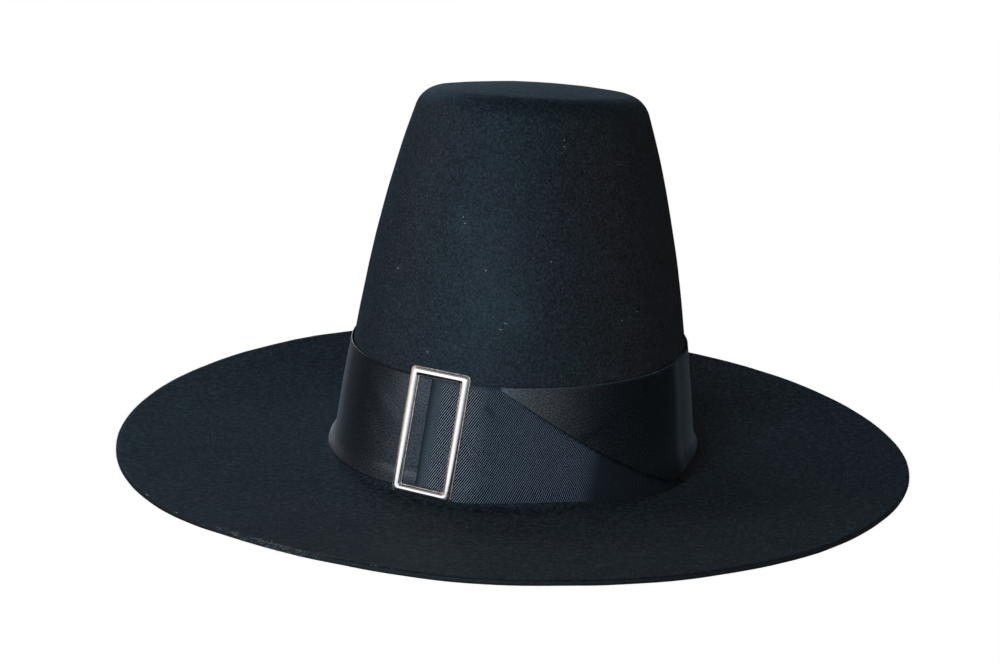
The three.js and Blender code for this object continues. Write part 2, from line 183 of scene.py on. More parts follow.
def add_object(name, points, faces, material, attributes):
    """A smooth mesh object from points in mm that rides on the hat."""
    mesh = bpy.data.meshes.new(name)
    mesh.from_pydata((np.asarray(points) * MM).tolist(), [], faces)
    mesh.polygons.foreach_set("use_smooth", [True] * len(mesh.polygons))
    for key, values in attributes.items():
        values = np.asarray(values, float)
        kind = "FLOAT_VECTOR" if values.ndim == 2 else "FLOAT"
        layer = mesh.attributes.new(key, kind, "POINT")
        layer.data.foreach_set("vector" if values.ndim == 2 else "value", values.ravel())
    mesh.materials.append(material)
    mesh.validate()
    mesh.update()
    piece = bpy.data.objects.new(name, mesh)
    bpy.context.scene.collection.objects.link(piece)
    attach(piece, "root")
    return piece


def grid_faces(rows, count):
    """Quads between rows of points that run round."""
    faces = []
    for r in range(rows - 1):
        a, b = r * count, (r + 1) * count
        for n in range(count):
            k = (n + 1) % count
            faces.append((a + n, b + n, b + k, a + k))
    return faces


# Materials. Colours are linear red, green and blue.
FELT_TONES = ((0.0056, 0.0080, 0.0102), (0.0078, 0.0112, 0.0142))
FELT_TINTS = ((1.08, 0.95, 1.02), (0.92, 1.05, 0.98))
FELT_PATCH = (0.0122, 0.0168, 0.0210, 1)
FELT_WORN = (0.030, 0.041, 0.046, 1)
FELT_CLUMP = (0.0180, 0.0240, 0.0290, 1)
GRAIN_LIGHT = (0.029, 0.038, 0.045, 1)
GRAIN_DARK = (0.0008, 0.0014, 0.0020, 1)
LEVEL_LIGHT = (0.078, 0.098, 0.112, 1)
LEVEL_DARK = (0.0004, 0.0008, 0.0012, 1)
# Painted shade for faces that look up, such as the brim and the top.
LEVEL_PAINTED_SHADE = (0.68, 0.66, 0.65, 1)
FLECK = (0.070, 0.084, 0.092, 1)
# Painted highlight on the brim's raw edge, and the darker, warmer multiply that follows it.
RIM_PAINTED_HIGHLIGHT = (0.012, 0.0145, 0.017, 1)
RIM_SHADE = (0.62, 0.58, 0.55, 1)
FELT_SHEEN = (0.82, 0.93, 1.0, 1)
FIBRE_TONES = ((0.01, 0.013, 0.015), (0.05, 0.055, 0.06))
FIBRE_PALE = (0.50, 0.48, 0.44, 1)
RIBBON_TONES = ((0.0023, 0.0024, 0.0028), (0.0042, 0.0043, 0.0050))
RIBBON_THREAD = (0.020, 0.022, 0.028, 1)
RIBBON_RIB = (0.015, 0.017, 0.021, 1)
RIBBON_SHEEN = (0.97, 0.97, 1.0, 1)
RIBBON_SHINE = (0.97, 0.98, 1.0, 1)
# Painted highlight along the band's top edge.
SELVEDGE_PAINTED_HIGHLIGHT = (0.030, 0.035, 0.042, 1)
STRAP_TONES = ((0.0230, 0.0268, 0.0316), (0.0298, 0.0346, 0.0402))
STRAP_THREAD = (0.020, 0.024, 0.030, 1)
# Painted shade on the strap: where it turns away, under the band's fold, in a wrinkle and round the post.
STRAP_PAINTED_SHADE = (0.0016, 0.0020, 0.0028, 1)
# Painted light that brightens the strap near the buckle.
STRAP_PAINTED_LIGHT = (2.05, 1.85, 1.65, 1)
TWILL_TONES = ((0.0002, 0.0003, 0.0004), (0.148, 0.154, 0.180))
TWILL_SLANT = math.radians(30)
METAL_TONES = ((0.80, 0.80, 0.82), (0.90, 0.90, 0.91))
METAL_PITS = ((0.30, 0.28, 0.23), (0.72, 0.68, 0.58))
FLOOR_TONES = ((0.88, 0.88, 0.88), (0.92, 0.92, 0.92))


class Nodes:
    """A material's node tree, with short calls to add nodes and links."""

    def __init__(self, name):
        self.material = bpy.data.materials.new(name)
        self.material.use_nodes = True
        self.tree = self.material.node_tree
        self.shader = self.tree.nodes["Principled BSDF"]

    def add(self, kind, settings=None, **inputs):
        made = self.tree.nodes.new(kind)
        for key, value in (settings or {}).items():
            setattr(made, key, value)
        for key, value in inputs.items():
            self.feed(made.inputs[key.replace("_", " ")], value)
        return made

    def feed(self, socket, value):
        if isinstance(value, bpy.types.NodeSocket):
            self.tree.links.new(value, socket)
        else:
            socket.default_value = value

    def set(self, **inputs):
        for key, value in inputs.items():
            self.feed(self.shader.inputs[key.replace("_", " ")], value)

    def place(self):
        return self.add("ShaderNodeTexCoord").outputs["Object"]

    def attribute(self, name, output="Fac"):
        return self.add("ShaderNodeAttribute", {"attribute_name": name}).outputs[output]

    def noise(self, place, scale, detail, roughness=0.5, stretch=None):
        if stretch:
            place = self.add("ShaderNodeMapping", Vector=place, Scale=stretch).outputs["Vector"]
        made = self.add("ShaderNodeTexNoise", Vector=place, Scale=scale, Detail=detail, Roughness=roughness)
        return made.outputs["Fac"]

    def bands(self, place, direction, scale, distortion, detail=2.0):
        made = self.add("ShaderNodeTexWave", {"bands_direction": direction}, Vector=place, Scale=scale)
        self.feed(made.inputs["Distortion"], distortion)
        self.feed(made.inputs["Detail"], detail)
        return made.outputs["Fac"]

    def math(self, operation, a, b=0.0, c=0.0):
        made = self.add("ShaderNodeMath", {"operation": operation})
        for socket, value in zip(made.inputs, (a, b, c)):
            self.feed(socket, value)
        return made.outputs[0]

    def tones(self, factor, low, high, pair):
        """The first colour where the factor is low, the second where it is high."""
        made = self.add("ShaderNodeValToRGB", Fac=factor)
        for element, place, colour in zip(made.color_ramp.elements, (low, high), pair):
            element.position = place
            element.color = (*colour, 1)
        return made.outputs["Color"]

    def rising(self, factor, low, high, top=1.0, bottom=0.0):
        return self.tones(factor, low, high, (grey(bottom), grey(top)))

    def falling(self, factor, low, high, top):
        return self.tones(factor, low, high, (grey(top), grey(0)))

    def blend(self, factor, a, b, kind="MIX"):
        made = self.add("ShaderNodeMix", {"data_type": "RGBA", "blend_type": kind})
        self.feed(made.inputs[0], factor)
        self.feed(made.inputs[6], a)
        self.feed(made.inputs[7], b)
        return made.outputs[2]

    def bump(self, height, distance, strength, normal=None):
        made = self.add("ShaderNodeBump", Height=height, Distance=distance, Strength=strength)
        if normal is not None:
            self.feed(made.inputs["Normal"], normal)
        return made.outputs["Normal"]


def grey(value):
    return (value, value, value)


def felt_material():
    n = Nodes("felt")
    at = n.place()
    colour = n.tones(n.noise(at, 20, 3), 0.3, 0.7, FELT_TONES)
    colour = n.blend(n.rising(n.noise(at, 110, 4, 0.6), 0.42, 0.72, 0.5), colour, FELT_PATCH)
    mottle = n.math("MULTIPLY_ADD", n.noise(at, 320, 4, 0.7), 1.6, -0.2)
    colour = n.blend(n.math("MULTIPLY", n.attribute("worn"), mottle), colour, FELT_WORN)
    colour = n.blend(n.rising(n.noise(at, 230, 3, 0.6), 0.52, 0.68, 0.35), colour, FELT_CLUMP)
    grain = n.noise(at, 950, 4, 0.7)
    colour = n.blend(n.rising(grain, 0.48, 0.72, 0.9), colour, GRAIN_LIGHT)
    colour = n.blend(n.falling(grain, 0.32, 0.50, 0.9), colour, GRAIN_DARK)
    # Level faces, such as the brim, have a coarser and stronger grain than the wall, and are darkened as
    # painted shade.
    normal = n.add("ShaderNodeNewGeometry").outputs["Normal"]
    facing = n.add("ShaderNodeSeparateXYZ", Vector=normal).outputs["Z"]
    level = n.math("POWER", n.math("ABSOLUTE", facing), 9.0)
    coarse = n.noise(at, 400, 4, 0.8)
    light = n.math("MULTIPLY", level, n.rising(coarse, 0.48, 0.66, 0.9))
    colour = n.blend(light, colour, LEVEL_LIGHT)
    deep = n.math("MULTIPLY", level, n.falling(coarse, 0.36, 0.50, 0.9))
    colour = n.blend(deep, colour, LEVEL_DARK)
    # Painted shade: faces that look up are multiplied darker.
    colour = n.blend(level, colour, LEVEL_PAINTED_SHADE, "MULTIPLY")
    tint = n.tones(n.noise(at, 38, 2), 0.38, 0.62, FELT_TINTS)
    colour = n.blend(1.0, colour, tint, "MULTIPLY")
    colour = n.blend(n.rising(n.noise(at, 1300, 2, 0.6), 0.64, 0.74, 0.8), colour, FLECK)
    # Painted highlight: the brim's raw edge is blended toward a paler tone where light catches it, then
    # multiplied darker and warmer.
    edge = n.attribute("edge")
    rim_highlight = n.math("MULTIPLY", edge, n.math("MULTIPLY_ADD", n.noise(at, 300, 3), 0.9, 0.1))
    colour = n.blend(rim_highlight, colour, RIM_PAINTED_HIGHLIGHT)
    colour = n.blend(edge, colour, RIM_SHADE, "MULTIPLY")
    pile = n.bump(n.noise(at, 1100, 3, 0.65), 0.0003, 0.5)
    rough = n.bump(n.noise(at, 330, 3, 0.55), 0.0006, 0.4, pile)
    n.set(Base_Color=colour, Roughness=0.62, Specular_IOR_Level=0.16, Normal=rough)
    n.set(Sheen_Weight=0.05, Sheen_Roughness=0.35, Sheen_Tint=FELT_SHEEN)
    return n.material


def fibre_material():
    n = Nodes("felt_fibre")
    dark = n.tones(n.noise(n.place(), 180, 1), 0.3, 0.7, FIBRE_TONES)
    n.set(Base_Color=n.blend(n.attribute("pale"), dark, FIBRE_PALE), Roughness=0.7)
    return n.material


def ribbon_material():
    n = Nodes("ribbon")
    cloth = n.attribute("cloth", "Vector")
    ribs = n.bands(cloth, "X", 0.42, 0.8, 1.0)
    fine = n.noise(cloth, 1.2, 4, 0.7, (0.9, 1.2, 1))
    colour = n.tones(n.noise(n.place(), 40, 3), 0.3, 0.75, RIBBON_TONES)
    colour = n.blend(n.rising(fine, 0.46, 0.76, 0.8), colour, RIBBON_THREAD)
    colour = n.blend(n.math("MULTIPLY", ribs, 0.07), colour, RIBBON_RIB)
    # Painted highlight along the band's top edge, where it catches the light.
    colour = n.blend(n.math("MULTIPLY", n.attribute("selvedge_highlight"), 0.7), colour, SELVEDGE_PAINTED_HIGHLIGHT)
    weave = n.bump(ribs, 0.0001, 0.12)
    soft = n.bump(n.noise(cloth, 0.9, 3, 0.6), 0.0002, 0.35, weave)
    rough = n.math("MULTIPLY_ADD", fine, 0.25, 0.30)
    inner = n.math("SUBTRACT", 1.0, n.attribute("hem"))
    shine = n.math("MULTIPLY", inner, n.rising(fine, 0.34, 0.66, bottom=0.15))
    sheen = n.math("MULTIPLY", inner, 0.24)
    n.set(Base_Color=colour, Roughness=rough, Normal=soft)
    n.set(Specular_IOR_Level=shine, Specular_Tint=RIBBON_SHINE)
    n.set(Sheen_Weight=sheen, Sheen_Roughness=0.25, Sheen_Tint=RIBBON_SHEEN)
    return n.material


def twill_material():
    n = Nodes("strap_twill")
    cloth = n.attribute("cloth", "Vector")
    turned = n.add("ShaderNodeMapping", Vector=cloth, Rotation=(0, 0, TWILL_SLANT)).outputs["Vector"]
    lines = n.bands(turned, "X", 0.387, 0.3)
    cross = n.bands(turned, "Y", 0.28, 0.8)
    twill = n.math("MULTIPLY_ADD", cross, 0.16, n.math("MULTIPLY", lines, 0.84))
    shown = n.attribute("weave")
    plain = n.tones(n.noise(n.place(), 60, 3), 0.3, 0.75, STRAP_TONES)
    # Painted shade darkens the plain strap where it turns away, lies under the fold, dips in a wrinkle or
    # turns round the post.
    plain = n.blend(n.attribute("painted_shade"), plain, STRAP_PAINTED_SHADE)
    colour = n.blend(shown, plain, n.tones(twill, 0.66, 0.82, TWILL_TONES))
    # Painted light: the strap is multiplied brighter near the buckle.
    colour = n.blend(n.attribute("near"), colour, STRAP_PAINTED_LIGHT, "MULTIPLY")
    fine = n.noise(cloth, 1.3, 3, 0.6)
    colour = n.blend(n.rising(fine, 0.45, 0.8, 0.20), colour, STRAP_THREAD)
    weave = n.bump(n.math("MULTIPLY", twill, shown), 0.0003, 0.6)
    soft = n.bump(n.noise(n.place(), 200, 3), 0.0003, 0.3, weave)
    n.set(Base_Color=colour, Roughness=0.5, Normal=soft, Specular_IOR_Level=0.03)
    return n.material


def metal_material():
    n = Nodes("buckle_metal")
    at = n.place()
    scratch = n.noise(at, 500, 4, 0.7, (6, 1, 1))
    lip = n.attribute("lip")
    pitted = n.tones(n.noise(at, 900, 3, 0.7), 0.40, 0.62, METAL_PITS)
    colour = n.blend(lip, n.tones(n.noise(at, 160, 3), 0.3, 0.8, METAL_TONES), pitted)
    rough = n.math("MULTIPLY_ADD", scratch, 0.08, 0.10)
    rough = n.math("MULTIPLY_ADD", lip, 0.22, rough)
    n.set(Base_Color=colour, Metallic=1.0, Roughness=rough)
    return n.material


def floor_material():
    n = Nodes("pale_floor")
    n.set(Base_Color=n.tones(n.noise(n.place(), 3, 2), 0.3, 0.7, FLOOR_TONES), Roughness=0.8)
    n.set(Emission_Color=(1.0, 1.0, 1.0, 1), Emission_Strength=1.0, Specular_IOR_Level=0.0)
    return n.material


# Felt body.


# A row of the felt's outer face: its place, its lean, and its shares of the brim's and the top's reach.
Row = namedtuple("Row", "out z lean brim top")


def felt_rows():
    """The rows of the outer face from the crown's top to the brim's edge, and the lifted brim's reach."""
    rows = []
    edge = FELT + RISE - DOME
    shoulder = edge - SHOULDER
    for _ in range(12):
        shoulder = edge - SHOULDER * (math.sin(TOP_LEAN) - math.sin(wall_lean(shoulder)))
    lean = float(wall_lean(shoulder))
    hub_out = float(wall_out(shoulder)) - SHOULDER * math.cos(lean)
    hub_z = shoulder - SHOULDER * math.sin(lean)
    rim_out = hub_out + SHOULDER * math.cos(TOP_LEAN)
    rim_z = hub_z + SHOULDER * math.sin(TOP_LEAN)
    for k in np.linspace(0, 1, 19)[:-1]:
        rows.append(Row(rim_out, rim_z + DOME * (1 - k * k), TOP_LEAN, 0, k))
    for k in np.linspace(0, 1, 17):
        a = mix(TOP_LEAN, lean, k)
        rows.append(Row(hub_out + SHOULDER * math.cos(a), hub_z + SHOULDER * math.sin(a), a, 0, 1))
    foot_lean = float(wall_lean(FELT + FILLET))
    foot = FELT + FILLET * (1 - math.sin(foot_lean))
    for z in np.linspace(shoulder, foot, 61)[1:]:
        rows.append(Row(float(wall_out(z)), z, float(wall_lean(z)), 0, 1))
    level = float(wall_out(foot)) + FILLET * math.cos(foot_lean)
    for k in np.linspace(0, 1, 11)[1:]:
        a = mix(foot_lean, math.pi / 2, k)
        rows.append(Row(level - FILLET * math.cos(a), FELT + FILLET * (1 - math.sin(a)), a, 0, 1))
    for k in np.linspace(0, 1, 6)[1:]:
        rows.append(Row(level + BRIM_FLAT * k, FELT, math.pi / 2, 0, 1))
    reach = BRIM - level - BRIM_FLAT
    for k in np.linspace(0, 1, 37)[1:]:
        rows.append(Row(level + BRIM_FLAT + reach * k, FELT, math.pi / 2, k, 1))
    return rows, reach


FELT_ROWS, BRIM_REACH = felt_rows()
EDGE_ROW = FELT_ROWS[-1]
AROUND = 336
TURNS = np.linspace(0, 360, AROUND, endpoint=False)
# Bulges of the hand-blocked felt: height and grain in mm, and a seed.
CROWN_BULGES = ((0.30, 42, 0.0), (0.12, 13, 5.0))
BRIM_BULGES = ((0.42, 48, 9.0), (0.14, 15, 3.0))
BULGE_LOW = 61.0  # where the crown's bulges begin
BULGE_RISE = 14.0
EDGE_FIBRES = 1500
NAP_ROWS = 340
NAP_IN_ROW = 26
TUFTS = 90
LOOSE_LINT = 170
LINT_LOW = 66  # lowest height of lint on the crown, above the band

# Places where the crown's nap is worn lighter: turn, z, half width, half height, strength.
WORN = [
    (23.0, 85.5, 9.0, 6.0, 0.60), (17.0, 98.5, 24.0, 24.0, 0.25), (8.6, 114.5, 17.0, 20.0, 0.12),
    (1.5, 122.5, 4.5, 4.0, 0.50), (0.5, 128.5, 3.0, 2.5, 0.40), (-24.5, 99.0, 4.0, 3.5, 0.30),
    (61.0, 82.0, 7.0, 5.0, 0.35), (-6.4, 65.5, 5.0, 3.0, 0.25), (60.0, 123.5, 4.0, 3.0, 0.20),
]
PALE_TURN = -6.5  # where the brim's raw edge shows its palest fibres
PALE_SPREAD = 8.5
EDGE_SPECKS = (-31.0, -23.2)  # turns of single bright bits on the brim's edge
# Bright bits of lint on the crown: turn, z.
SPECKS = [
    (39.4, 158.9), (39.8, 160.5), (1.9, 122.0), (0.9, 126.7), (-25.2, 97.9), (11.5, 103.4), (19.2, 81.5),
    (-6.2, 65.8), (33.8, 110.4), (59.7, 83.8), (66.7, 84.9), (17.9, 79.4),
]


def felt_ring(row, depth, trim=0.0, turn=TURNS):
    """Points and normals of one row, under the outer face by a depth."""
    out, z, lean, brim, top = row
    lift = LIFT * round_curve(BRIM_EDGE, turn)
    slope = np.arctan(lift * brim * (3.2 - 1.8 * brim) / BRIM_REACH)
    face = lean + slope
    z = z + lift * brim**2 * (1.6 - 0.6 * brim)
    cx, cy = SHIFT if brim > 0 else centre(z)
    cx, cy = mix(cx, 0, brim), mix(cy, 0, brim)
    a = np.radians(turn)
    out = out - depth * np.cos(face) - trim
    x = cx + (BASE_HALF + out) * np.sin(a) * top
    y = cy + (-(BASE_HALF + HEAD_EXTRA + out) * np.cos(a) + TRIM * brim * np.cos(a)) * top
    points = np.stack([x, y, z - depth * np.sin(face)], -1)
    normals = np.stack([np.cos(face) * np.sin(a), -np.cos(face) * np.cos(a), np.sin(face)], -1)
    return points, normals


def felt_push(points, brim):
    """How far the hand-blocked felt bulges along its normal."""
    if brim > 0:
        return smooth(brim * 5) * uneven(points, BRIM_BULGES)
    return smooth((points[..., 2] - BULGE_LOW) / BULGE_RISE) * uneven(points, CROWN_BULGES)


def bare_at(turn):
    """How bare the brim's raw edge is at a turn."""
    aside = (turn - PALE_TURN + 180) % 360 - 180
    return np.exp(-((aside / PALE_SPREAD) ** 2))


def worn_at(turn, z):
    total = np.zeros_like(turn)
    for spot, height, width, tall, strength in WORN:
        aside = (np.mod(turn - spot + 180, 360) - 180) * math.radians(BASE_HALF)
        total = total + strength * np.exp(-((aside / width) ** 2) - ((z - height) / tall) ** 2)
    return total


def felt_body(material):
    rings, marks, worn = [], [], []

    def put(row, depth, trim=0.0, edge=0.0):
        points, normals = felt_ring(row, depth, trim)
        points = points + normals * felt_push(felt_ring(row, 0)[0], row.brim)[:, None]
        rings.append(points)
        marks.append(np.full(AROUND, edge))
        bare = 1.8 * bare_at(TURNS) * smooth((row.brim - 0.90) / 0.08)
        worn.append(bare if row.brim else worn_at(TURNS, row.z))

    body = FELT_ROWS[1:-1]
    for row in body:
        put(row, 0)
    # The rounded raw edge: depth, trim and edge mark of its rings, the same from above and below.
    soft = FELT * 0.2
    rounding = [(0, soft * 1.2, 0.35), (soft * 0.3, soft * 0.35, 0.8), (soft, 0, 1.0)]
    for depth, trim, edge in rounding:
        put(EDGE_ROW, depth, trim, edge)
    put(EDGE_ROW, FELT / 2, -0.05, 1.0)
    for depth, trim, edge in rounding[::-1]:
        put(EDGE_ROW, FELT - depth, trim, edge)
    for row in body[::-1]:
        put(row, FELT)
    points = np.concatenate(rings)
    faces = grid_faces(len(rings), AROUND)
    for first, depth, flip in ((0, 0, False), ((len(rings) - 1) * AROUND, FELT, True)):
        pole, _ = felt_ring(FELT_ROWS[0], depth)
        points = np.concatenate([points, pole[:1]])
        hub = len(points) - 1
        for n in range(AROUND):
            k = (n + 1) % AROUND
            faces.append((hub, first + k, first + n) if flip else (hub, first + n, first + k))
    edge = np.concatenate(marks + [np.zeros(2)])
    worn = np.concatenate(worn + [np.zeros(2)])
    return add_object("felt_shell", points, faces, material, {"edge": edge, "worn": worn})


def add_fibres(name, fibres, material, segments=4):
    """Thin spikes as one mesh; each is told by its start, way, curl, length, radius and paleness."""
    points, faces, shades = [], [], []
    for start, way, curl, length, radius, pale in fibres:
        way, spot, first = Vector(way).normalized(), Vector(start), len(points)
        side = way.orthogonal().normalized()
        other = way.cross(side)
        for k in range(segments):
            width = radius * (1 - 0.8 * k / segments)
            for a in np.radians((0, 120, 240)):
                points.append(spot + side * (width * math.cos(a)) + other * (width * math.sin(a)))
            way = (way + Vector(curl) * (1.2 / segments)).normalized()
            spot = spot + way * (length / segments)
        points.append(spot)
        for k in range(segments - 1):
            for n in range(3):
                a, b = first + 3 * k + n, first + 3 * k + (n + 1) % 3
                faces.append((a, b, b + 3, a + 3))
        tip, ring = len(points) - 1, first + 3 * (segments - 1)
        faces += [(ring + n, ring + (n + 1) % 3, tip) for n in range(3)]
        faces.append((first + 2, first + 1, first))
        shades += [pale] * (len(points) - first)
    return add_object(name, [tuple(p) for p in points], faces, material, {"pale": shades})


def surface_spot(row, turn, depth=0.0, trim=0.0):
    """A point of a row at a turn, and the face's normal there."""
    turn = np.array([turn])
    points, normals = felt_ring(row, depth, trim, turn)
    push = felt_push(felt_ring(row, 0, turn=turn)[0], row.brim)
    return points[0] + normals[0] * push[0], normals[0]


def level_ways(turn):
    """The level directions outward and along the brim at a turn."""
    a = math.radians(turn)
    return np.array([math.sin(a), -math.cos(a), 0.0]), np.array([math.cos(a), math.sin(a), 0.0])


def loose_curl(rng, most):
    return [rng.uniform(-most, most) for _ in range(3)]


def loose_level(rng, most):
    return np.array([rng.uniform(-most, most), rng.uniform(-most, most), 0.0])


def brim_row(inward):
    """The brim's outer face so far in from its edge."""
    return EDGE_ROW._replace(out=EDGE_ROW.out - inward, brim=max(1 - inward / BRIM_REACH, 0.01))


def edge_fibres(material):
    """Loose fibres that stand out of the brim's raw edge."""
    rng = random.Random(11)
    fibres = []
    for _ in range(EDGE_FIBRES):
        turn = rng.uniform(0, 360)
        spot, normal = surface_spot(EDGE_ROW, turn, rng.uniform(0.05, 0.95) * FELT, 0.05)
        out, along = level_ways(turn)
        way = out + along * rng.uniform(-1.3, 1.3) + normal * rng.uniform(-0.7, 0.7)
        curl = loose_curl(rng, 0.9)
        length = rng.uniform(0.35, 1.5) * (1.6 if rng.random() < 0.08 else 1)
        pale = rng.random() * (0.08 + 0.92 * float(bare_at(turn)))
        fibres.append((spot - out * 0.08, way, curl, length, 0.035, pale))
    return add_fibres("edge_fibres", fibres, material)


def nap(material):
    """Short fibres that stand up on the brim."""
    rng = random.Random(23)
    fibres = []
    for _ in range(NAP_ROWS):
        row = brim_row(BRIM_REACH * (1 - rng.random() ** 0.8))
        turn = np.array([rng.uniform(0, 360) for _ in range(NAP_IN_ROW)])
        points, normals = felt_ring(row, 0, turn=turn)
        points = points + normals * (felt_push(points, row.brim)[:, None] - 0.02)
        for spot, normal in zip(points, normals):
            way = normal + loose_level(rng, 0.9)
            curl = loose_curl(rng, 0.6)
            length = rng.uniform(0.45, 1.3)
            fibres.append((spot, way, curl, length, 0.075, 0.35 * rng.random() ** 3))
    return add_fibres("nap", fibres, material, 2)


def worn_fibres(material):
    """Pale fibres that lie loose in small tufts along the barest stretch of the brim's edge."""
    rng = random.Random(31)
    fibres = []
    for _ in range(TUFTS):
        turn = rng.gauss(PALE_TURN, PALE_SPREAD * 0.6)
        inward = 2.6 * rng.random() ** 1.6
        drop = rng.uniform(0.1, 0.8) * FELT
        on_edge = rng.random() < 0.5
        shade = rng.uniform(0.2, 0.8)
        for _ in range(rng.randrange(5, 13)):
            here = turn + math.degrees(rng.gauss(0, 0.9) / (BASE_HALF + BRIM))
            aside = loose_level(rng, 1)
            if on_edge:
                depth = min(max(drop + rng.gauss(0, 0.25), 0.1), FELT - 0.1)
                spot, normal = surface_spot(EDGE_ROW, here, depth)
                out = level_ways(here)[0]
                start = spot - out * 0.06
                way = out * 0.7 + aside * 0.8 + normal * rng.uniform(-0.8, 0.8)
            else:
                spot, normal = surface_spot(brim_row(max(0.0, inward + rng.gauss(0, 0.35))), here)
                start = spot - normal * 0.02
                way = normal * 0.35 + aside
            curl = loose_curl(rng, 0.7)
            length = rng.uniform(0.4, 1.1)
            fibres.append((start, way, curl, length, 0.075, shade * rng.uniform(0.5, 1.0)))
    return add_fibres("worn_fibres", fibres, material, 3)


def lint(material):
    """Light bits of lint that lie on the felt."""
    rng = random.Random(5)
    wall = [row for row in FELT_ROWS if row.brim == 0 and row.top == 1]
    spots = []
    for turn, z in SPECKS:
        row = min(wall, key=lambda row: abs(row.z - z))
        spots += [(row, turn + 0.2 * k, 0.5) for k in (-1, 0, 1)]
    for turn in EDGE_SPECKS:
        spots += [(EDGE_ROW, turn + 0.15 * k, 0.5) for k in (-1, 0, 1)]
    for _ in range(LOOSE_LINT):
        row = FELT_ROWS[rng.randrange(3, len(FELT_ROWS) - 1)]
        turn = rng.uniform(0, 360)
        if row.brim > 0 or (row.z >= LINT_LOW and row.top == 1):
            spots.append((row, turn, 1.0))
    fibres = []
    for row, turn, size in spots:
        spot, normal = surface_spot(row, turn)
        along = level_ways(turn)[1]
        beside = np.cross(normal, along)
        angle = rng.uniform(0, 2 * math.pi)
        way = along * math.cos(angle) + beside * math.sin(angle) + normal * 0.12
        curl = along * rng.uniform(-0.9, 0.9) + beside * rng.uniform(-0.9, 0.9) - normal * 0.1
        length = rng.uniform(0.6, 1.8) * size
        radius, pale = (0.05, rng.uniform(0.1, 0.6)) if size == 1.0 else (0.14, 1.0)
        fibres.append((spot + normal * 0.05, way, curl, length, radius, pale))
    return add_fibres("lint", fibres, material)


# Band and strap.

ARC_TURNS = np.linspace(-30, 400, 1721)
ARC_POINTS = on_wall(ARC_TURNS, 30.0, 1.0)
ARC_LENGTHS = np.concatenate([[0], np.cumsum(np.linalg.norm(np.diff(ARC_POINTS, axis=0), axis=1))])


def arc(turn):
    """Length along the ribbon at a turn, in mm."""
    return np.interp(turn, ARC_TURNS, ARC_LENGTHS)


def flare(z):
    """How far the ribbons bulge out over the fillet at the crown's foot."""
    height = (np.asarray(z, float) - FELT) / FILLET
    return HEM_BULGE * FILLET * smooth((HEM_END - height) / (HEM_END - HEM_FULL))


def across(count):
    """Shares of the ribbon's width, close together at both edges."""
    inner = np.linspace(0.02, 0.98, count)
    return np.concatenate([[0, 0.003, 0.009], inner, [0.991, 0.997, 1]])


def edge_thin(share):
    """How much of its thickness the ribbon has near its edges."""
    near = np.minimum(share, 1 - share) / 0.009
    return 0.35 + 0.65 * np.sqrt(np.clip(near, 0, 1))


def ridge(turn, z, spot, toward, width, height):
    """A soft wrinkle between two places on the ribbon, each given as (turn, z)."""
    ax, ay = arc(spot[0]), spot[1]
    bx, by = arc(toward[0]), toward[1]
    x, y = arc(turn), z
    dx, dy = bx - ax, by - ay
    t = np.clip(((x - ax) * dx + (y - ay) * dy) / (dx * dx + dy * dy), 0, 1)
    away = np.hypot(x - ax - t * dx, y - ay - t * dy)
    return height * np.exp(-((away / width) ** 2)) * (0.35 + 0.65 * np.sin(np.pi * np.clip(t, 0.12, 0.88)))


# Soft wrinkles: where they start and end as (turn, z), their width and their height.
BAND_WRINKLES = [
    ((-40, 20), (-22, 34), 5.0, 0.35), ((-33, 48), (-16, 36), 4.0, 0.30), ((-27, 12), (-12, 22), 3.5, 0.12),
    ((-50, 40), (-38, 30), 6.0, 0.25), ((62, 30), (80, 22), 6.0, 0.30), ((70, 44), (88, 40), 6.0, 0.25),
]
STRAP_WRINKLES = [
    ((11, 51), (19, 42), 2.2, -0.42), ((15, 52), (23, 44), 2.2, 0.32), ((16, 30), (34, 12), 6.0, 0.30),
    ((24, 40), (50, 16), 7.0, 0.30), ((8, 12), (20, 8), 3.0, 0.25), ((46, 22), (62, 9), 4.0, 0.30),
]
BAND_UNEVEN = ((0.16, 17, 2.0), (0.05, 6, 7.0))
STRAP_UNEVEN = ((0.10, 14, 4.0),)


def wrinkles(table, turn, z):
    turn = np.where(turn > 180, turn - 360, turn)
    return sum(ridge(turn, z, *wrinkle) for wrinkle in table)


def ribbon_faces(columns, size):
    """Faces of a closed ribbon; each column is a loop of size points, outer face up then inner face down."""
    faces = []
    for c in range(columns - 1):
        for n in range(size):
            here, after = c * size + n, c * size + (n + 1) % size
            faces.append((here, here + size, after + size, after))
    last = (columns - 1) * size
    for n in range(size // 2 - 1):
        a, b, c, d = n, n + 1, size - 2 - n, size - 1 - n
        faces.append((a, b, c, d))
        faces.append((last + a, last + d, last + c, last + b))
    return faces


def ribbon_piece(name, outer, inner, marks, material):
    """A closed ribbon; marks are attributes given for the outer face, repeated on the inner."""
    loops = np.concatenate([outer, inner[:, ::-1]], axis=1)
    faces = ribbon_faces(loops.shape[0], loops.shape[1])
    flat = {}
    for key, values in marks.items():
        doubled = np.concatenate([values, values[:, ::-1]], axis=1)
        flat[key] = doubled.reshape(-1, 3) if doubled.ndim == 3 else doubled.ravel()
    return add_object(name, loops.reshape(-1, 3), faces, material, flat)


def band_shape(turn, share):
    """Height of the band at a turn and share, and how far its outer face stands off the wall."""
    z = HEM + RIBBON * mix(round_curve(BAND_LOW, turn), round_curve(BAND_HIGH, turn), share)
    over = 2 * GAP + LAYER
    raised = np.where(turn < 180, 1 - smooth((turn - STRAP_TURN - STRAP_CLEAR) / LANDING_TURN), 0)
    inner = mix(GAP, over, raised) + flare(z)
    beyond = share - curve(CORNER_STEP, turn)
    step = np.where(turn < CORNER_STEP[-1][0], smooth(beyond / STEP_WIDTH + 0.5), 0)
    outer = inner + LAYER + STEP_HEIGHT * step
    return z, outer


